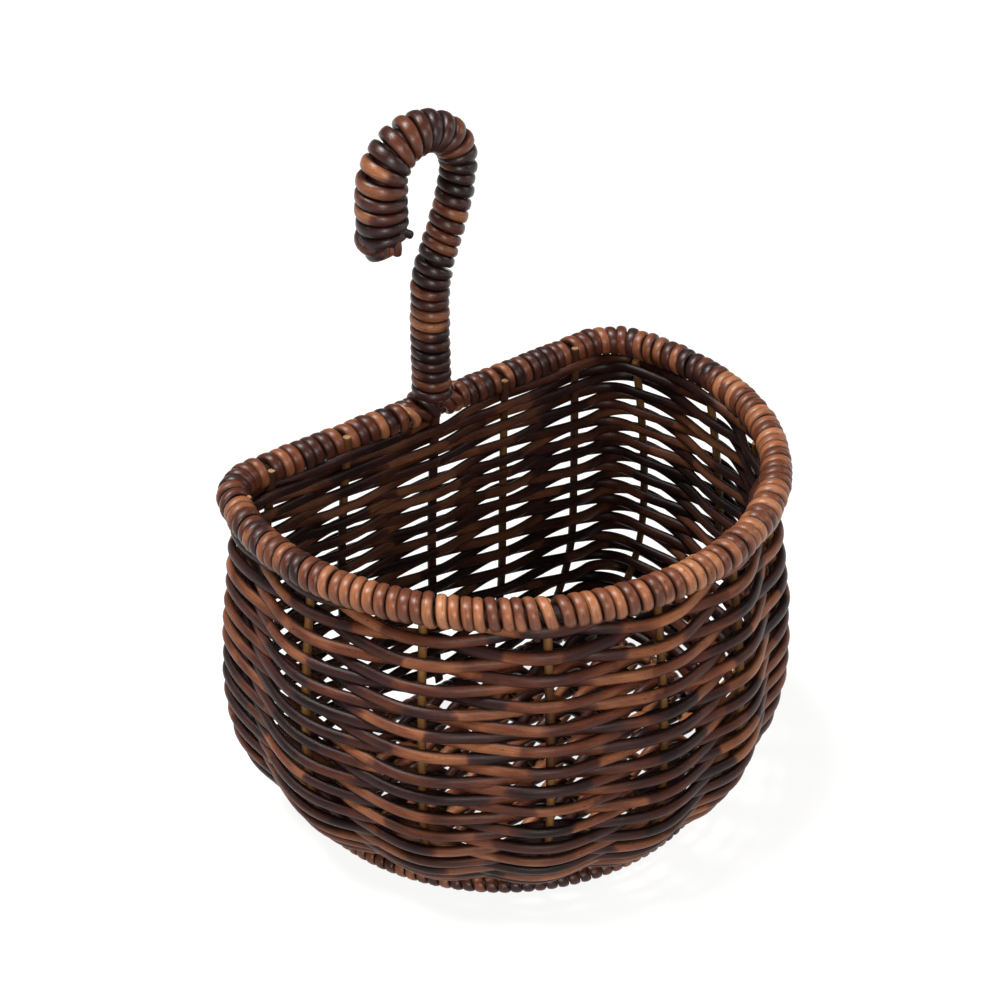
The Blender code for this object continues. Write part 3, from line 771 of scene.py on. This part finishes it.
def draw_base_weaver():
    """One rod to and fro over and under the sticks, from the back to the front."""
    inset = (border_diameter + base_weaver_diameter) / 2 + 2 * clearance
    front, back = level_ends(0.0, inset + base_weaver_pitch / 2, crossways=False)
    count = 90
    passes = []
    for number, y in enumerate(np.arange(back, front, -base_weaver_pitch / 2)):
        reach = level_ends(y, inset, crossways=True)[1]
        x = np.linspace(-reach, reach, count) * (1 if number % 2 == 0 else -1)
        wave = np.cos(math.pi * (x / base_stick_pitch + number))
        z = base_middle + base_swing * np.sin(math.pi / 2 * wave) * 0.98
        passes.append(np.stack([x, np.full(count, y), z], axis=1))
    line = [passes[0]]
    for row, ahead in zip(passes, passes[1:]):
        line += [base_turn(row, ahead), ahead]
    rods = Rods()
    rods.add(np.concatenate(line), UP, base_weaver_diameter / 2, base_weaver_half_width, sides=10)
    rods.build("base_rod", (weaver_look, dark_cut), "base_weaver")


# ---------------------------------------------------------------- the hook
def hook_knots():
    """(x, height, cane diameter) up the shaft and round the crook."""
    shoulder = rim_height + hoop_diameter / 2 + shoulder_height
    foot = rim_height + sway_start
    knots = [
        (0.0, shoulder, tang_diameter),
        (shaft_shift, shoulder + shoulder_length, shaft_diameter),
        (shaft_shift, foot, shaft_diameter),
    ]
    for share in (0.25, 0.5, 0.75):
        sway = crook_sway * (1 - math.cos(share * math.pi)) / 2
        knots.append((shaft_shift + sway, foot + (crook_height - sway_start) * share, shaft_diameter))
    centre_x, centre_z = shaft_shift + crook_sway - crook_radius, rim_height + crook_height
    for angle in np.linspace(0, math.pi, 9):
        x, z = centre_x + crook_radius * math.cos(angle), centre_z + crook_radius * math.sin(angle)
        thickness = np.interp(angle, (0.0, math.pi / 2, math.pi), (shaft_diameter, crook_diameter, bulb_diameter))
        knots.append((x, z, float(thickness)))
    end_x, end_z = centre_x - crook_radius, centre_z - crook_drop
    knots += [(end_x, end_z + tip_taper, bulb_diameter), (end_x, end_z, tip_diameter)]
    knots = np.array(knots)
    # The shaft leans in a little under the crook
    on_shaft = knots[:, 0] > shaft_shift - 0.001
    knots[:, 0] -= 0.0019 * on_shaft * np.exp(-(((knots[:, 1] - rim_height - 0.100) / 0.017) ** 2))
    return knots


cane = curve_through(hook_knots(), 14)
cane_line = np.stack([cane[:, 0], np.full(len(cane), hook_y), cane[:, 1]], axis=1)
cane_way = way_along(cane_line)
cane_length = cane_way[-1]

# What the strand is wound on: the cane, begun a little lower and as thick at the shoulder as on the shaft
wound_line = np.concatenate([[cane_line[0] - winding_foot_drop * UP], cane_line])
wound_way = np.concatenate([[-winding_foot_drop], cane_way])
wound_half = np.concatenate([[shaft_diameter / 2], np.where(cane_way < 0.01, shaft_diameter, cane[:, 2]) / 2])


def draw_cane():
    """The cane: a toe and a tang down the middle of the back, the shaft and the crook."""
    tang = on_grid(WALL, np.zeros(STAKE_POINTS), np.linspace(0, 1, STAKE_POINTS))
    line = np.concatenate([[tang[0] - stake_toe * BACK], tang, cane_line])
    half = np.concatenate([np.full(STAKE_POINTS + 1, tang_diameter / 2), cane[:, 2] / 2])
    rods = Rods()
    rods.add(line, BACK, half, half, sides=16)
    rods.build("hook_cane", (core_look, dark_cut), "hook_core")


def cane_at(way):
    """The cane's place, heading and half thickness at distances along it."""
    step = 0.0012
    place, ahead, behind = (
        np.stack([np.interp(way + shift, wound_way, wound_line[:, k]) for k in range(3)], axis=1)
        for shift in (0.0, step, -step))
    return place, unit(ahead - behind), np.interp(way, wound_way, wound_half)


def round_cane(heading, angles):
    """The direction at an angle round the cane, from the outside of the crook towards the back."""
    outward = np.stack([heading[:, 2], np.zeros(len(heading)), -heading[:, 0]], axis=1)
    return outward * np.cos(angles)[:, None] + BACK * np.sin(angles)[:, None]


WIND_POINTS = 20
WIND_FULLNESS = 2.4


def add_winding(rods):
    """The strand from the rim to the crook's tip, as wide at each place as its turns stand apart there."""
    places = np.linspace(winding_start, cane_length - winding_end, 400)
    pitches = np.interp(places, (0.0, 0.05, 0.115, 0.150), (0.0046, 0.0047, 0.0052, 0.0053))
    turns_at = np.concatenate([[0.0], np.cumsum(np.diff(places) / pitches[1:])])
    count = int(turns_at[-1] * WIND_POINTS)
    phase = np.linspace(0, turns_at[-1], count)
    angles = -2 * math.pi * phase
    way = np.interp(phase, turns_at, places) + smooth_noise(count, 0.00022, WIND_POINTS)
    # The last turns lie aslant
    slant = 0.0036 * np.clip((way - (cane_length - 0.022)) / 0.019, 0.0, 1.0)
    way = np.minimum(way + slant * np.cos(angles - math.radians(38)), cane_length + 0.0008)
    place, heading, cane_half = cane_at(way)
    direction = round_cane(heading, angles)
    strand_half = strand_diameter / 2
    reach = cane_half + strand_half + smooth_noise(count, 0.00012, WIND_POINTS * 0.7)
    # The foot is a little stouter, and the strand's end is tucked in under the first turn
    reach += np.interp(way, (0.004, 0.012, 0.055, 0.075), (0.0011, 0.0005, 0.0004, 0.0))
    reach -= 0.0040 * np.clip(1.0 - phase / 0.18, 0.0, 1.0) ** 2
    points = place + direction * reach[:, None]
    step = np.linalg.norm(points[WIND_POINTS:] - points[:-WIND_POINTS], axis=1)
    apart = np.minimum(np.concatenate([step[:WIND_POINTS], step]), np.concatenate([step, step[-WIND_POINTS:]]))
    half_out = strand_half * (1.0 + smooth_noise(count, 0.04, WIND_POINTS))
    rods.add(points, direction, half_out, np.clip(apart * 0.5, 0.0012, 0.0029), fullness=WIND_FULLNESS)


def add_loop(rods):
    """A turn that lies over the winding near the tip."""
    turns, lift, count = -0.62, 0.0026, 17
    phase = np.linspace(0, 1, count)
    place, heading, cane_half = cane_at(cane_length - 0.0135 + (0.0135 - 0.0045) * phase)
    direction = round_cane(heading, math.radians(200) + 2 * math.pi * turns * phase)
    reach = cane_half + strand_diameter * 0.5 + lift * np.sin(math.pi * phase) ** 0.4
    rods.add(place + direction * reach[:, None], direction, 0.0019, 0.0026)


# Strand ends beside the crook's tip: places as (degrees from the right towards the front, reach and rise in mm),
# the direction that faces out, and half the thickness outwards and sideways
TIP_ENDS = (
    (((70, 7.0, 13.0), (58, 8.6, 11.8), (50, 10.2, 10.6), (46, 11.2, 9.8)), UP, 0.0018, 0.0019),
    (((88, 7.8, 11.0), (84, 8.4, 8.4), (82, 8.4, 5.8), (82, 8.0, 3.4)), -BACK, 0.0018, 0.0019),
    (((113, 7.8, 10.4), (113, 8.2, 7.8), (114, 8.0, 5.2), (114, 7.4, 3.6)), -BACK, 0.0014, 0.0013),
)


def beside_tip(degrees, reach, rise):
    """A place beside the crook's end."""
    turn = math.radians(degrees)
    return cane_line[-1] + np.array([reach * math.cos(turn), -reach * math.sin(turn), rise]) / 1000


def draw_hook_wrap():
    """The winding, the turn that lies over it, and the strand ends that peep out at the tip."""
    rods = Rods()
    add_winding(rods)
    add_loop(rods)
    for places, out, half_out, half_side in TIP_ENDS:
        rods.add(np.array([beside_tip(*place) for place in places]), out, half_out, half_side)
    rods.build("hook_strand", (hook_look, dark_cut), "hook_wrap")


# ---------------------------------------------------------------- the lashing at the hook's foot
# Each strand goes round the rim through (x in mm, degrees from the back upwards, reach in mm)
LASHINGS = {
    "left": (
        ((-16.6, 90, 4.7), (-15.7, 180, 4.7), (-14.8, 270, 4.7), (-13.9, 360, 4.7), (-12.9, 450, 4.9),
         (-11.1, 480, 4.9), (-8.4, 515, 4.9), (-4.5, 550, 4.9), (-2.4, 600, 4.8), (-1.8, 660, 4.8),
         (-1.6, 720, 4.8), (-1.6, 775, 4.8), (-1.6, 795, 4.6), (-1.5, 815, 3.2), (-1.4, 830, 0.8)),
        ((-14.4, 70, 4.3), (-13.6, 100, 4.4), (-12.0, 140, 4.6), (-10.2, 180, 4.8), (-9.6, 225, 4.8),
         (-9.6, 270, 4.8), (-9.7, 330, 4.8), (-9.7, 380, 4.8), (-9.4, 430, 4.6), (-9.0, 460, 3.0),
         (-8.8, 480, 0.8)),
        ((-6.4, -130, 0.8), (-6.2, -110, 3.4), (-6.0, -80, 4.8), (-5.8, -30, 4.8), (-5.6, 10, 4.8),
         (-6.0, 45, 5.6), (-6.8, 78, 7.0), (-6.2, 108, 7.4), (-3.4, 145, 6.8), (-0.6, 185, 5.6),
         (1.2, 230, 4.8), (2.0, 290, 4.8), (2.5, 350, 4.8), (2.8, 400, 4.8), (2.9, 425, 4.6),
         (2.9, 450, 3.2), (2.9, 470, 0.8)),
    ),
    "right": (
        ((-1.6, 70, 0.8), (-1.0, 85, 3.6), (-0.5, 100, 5.2), (1.2, 125, 5.4), (4.8, 143, 5.0),
         (7.7, 185, 4.9), (9.2, 240, 4.8), (10.0, 290, 4.8), (10.3, 340, 4.8), (10.5, 390, 4.8),
         (10.6, 430, 4.4), (10.7, 460, 2.8), (10.8, 480, 0.8)),
        ((6.0, -130, 0.8), (6.2, -105, 3.4), (6.4, -70, 4.8), (6.6, -20, 4.8), (6.9, 30, 4.8),
         (7.5, 75, 4.8), (8.6, 117, 4.8), (10.4, 147, 4.8), (12.3, 178, 4.8), (12.9, 240, 4.8),
         (13.6, 330, 4.8), (14.6, 450, 4.8)),
    ),
}


def draw_lashings():
    """Strands round the rim on each side of the hook's foot, with their ends tucked in."""
    for side, strands in LASHINGS.items():
        rods = Rods()
        for knots in strands:
            line = curve_through(np.array(knots, float), 8)
            x, angle, reach = line[:, 0] / 1000, np.radians(line[:, 1])[:, None], line[:, 2] / 1000
            direction = BACK * np.cos(angle) + UP * np.sin(angle)
            centres = np.stack([x, np.full(len(x), back_y), np.full(len(x), rim_height)], axis=1)
            rods.add(centres + direction * reach[:, None], direction, wrap_strand_half, lashing_half_width)
        rods.build(f"hook_lashing_{side}_strand", (hook_look, dark_cut), f"hook_lashing_{side}")


# ---------------------------------------------------------------- stage, light and camera
FRAME_PIXELS = 1001
CAMERA_AZIMUTH, CAMERA_ELEVATION = math.radians(-38.156), math.radians(31.661)
camera_distance = 0.895
camera_lens, camera_sensor = 79.13, 36.0
camera_shift_pixels = (-1.4, -45.65)


def pale_floor():
    """A plain pale look that glows a little, so that the floor comes out as white as the photo's background."""
    n = Nodes("pale_floor")
    colour = (0.13, 0.13, 0.129)
    shade = n.ramp(n.noise(scale=60.0, detail=2.0), ((0.0, tuple(c * 0.995 for c in colour)), (1.0, colour)))
    return n.surface({
        "Base Color": shade, "Roughness": 0.85, "Specular IOR Level": 0.1,
        "Emission Color": (1.0, 1.0, 0.995, 1.0), "Emission Strength": 0.86,
    })


def lay_floor():
    """A floor large enough to fill the view, just under the basket's foot."""
    bpy.ops.mesh.primitive_plane_add(size=60.0, location=(0, 0, -0.0002))
    floor = bpy.context.active_object
    floor.name = "floor"
    floor.data.materials.append(pale_floor())


def add_object(name, data, place, target):
    """An object at a place with its -Z axis towards the target and its top up."""
    obj = bpy.data.objects.new(name, data)
    bpy.context.scene.collection.objects.link(obj)
    place, target = np.array(place, float), np.array(target, float)
    back = unit(place - target)
    right = unit(np.cross(UP, back))
    matrix = np.eye(4)
    matrix[:3] = np.stack([right, np.cross(back, right), back, place], axis=1)
    obj.matrix_world = Matrix(matrix.tolist())
    return obj


def area_light(name, place, target, size, power, colour):
    """A round soft lamp."""
    lamp = bpy.data.lights.new(name, "AREA")
    lamp.shape, lamp.size, lamp.energy, lamp.color = "DISK", size, power, colour
    add_object(name, lamp, place, target)


def light_studio():
    """A broad light from above, a soft one in front and a weak one at the side."""
    world = bpy.data.worlds.new("studio")
    bpy.context.scene.world = world
    world.use_nodes = True
    background = world.node_tree.nodes["Background"].inputs
    background["Color"].default_value = (1.0, 0.995, 0.985, 1.0)
    background["Strength"].default_value = 0.18
    sun = bpy.data.lights.new("overhead", "SUN")
    sun.energy, sun.angle, sun.color = 7.4, math.radians(22), (1.0, 0.99, 0.97)
    add_object("overhead", sun, (-0.45, 0.30, 1.6), (0.0, 0.0, 0.0))
    area_light("front", (-0.55, -1.00, 0.62), (0, -0.04, 0.10), 0.40, 15.0, (1.0, 0.975, 0.94))
    area_light("side", (0.95, -0.55, 0.75), (0, 0, 0.12), 0.45, 4.5, (1.0, 0.95, 0.90))


def place_camera():
    """The photo's view, aimed at the middle of the rim's arc."""
    target = np.array([0.0, arc_y, rim_height])
    level = math.cos(CAMERA_ELEVATION)
    toward = np.array([
        math.sin(CAMERA_AZIMUTH) * level, -math.cos(CAMERA_AZIMUTH) * level, math.sin(CAMERA_ELEVATION)])
    data = bpy.data.cameras.new("camera")
    data.sensor_width, data.lens, data.clip_end = camera_sensor, camera_lens, 100.0
    data.shift_x, data.shift_y = (pixels / FRAME_PIXELS for pixels in camera_shift_pixels)
    bpy.context.scene.camera = add_object("camera", data, target + toward * camera_distance, target)
    bpy.context.scene.view_settings.view_transform = "Standard"


draw_weavers()
draw_stakes()
draw_hoop()
draw_rim_wraps()
draw_foot_ring()
draw_base_sticks()
draw_base_weaver()
draw_cane()
draw_hook_wrap()
draw_lashings()
lay_floor()
light_studio()
place_camera()
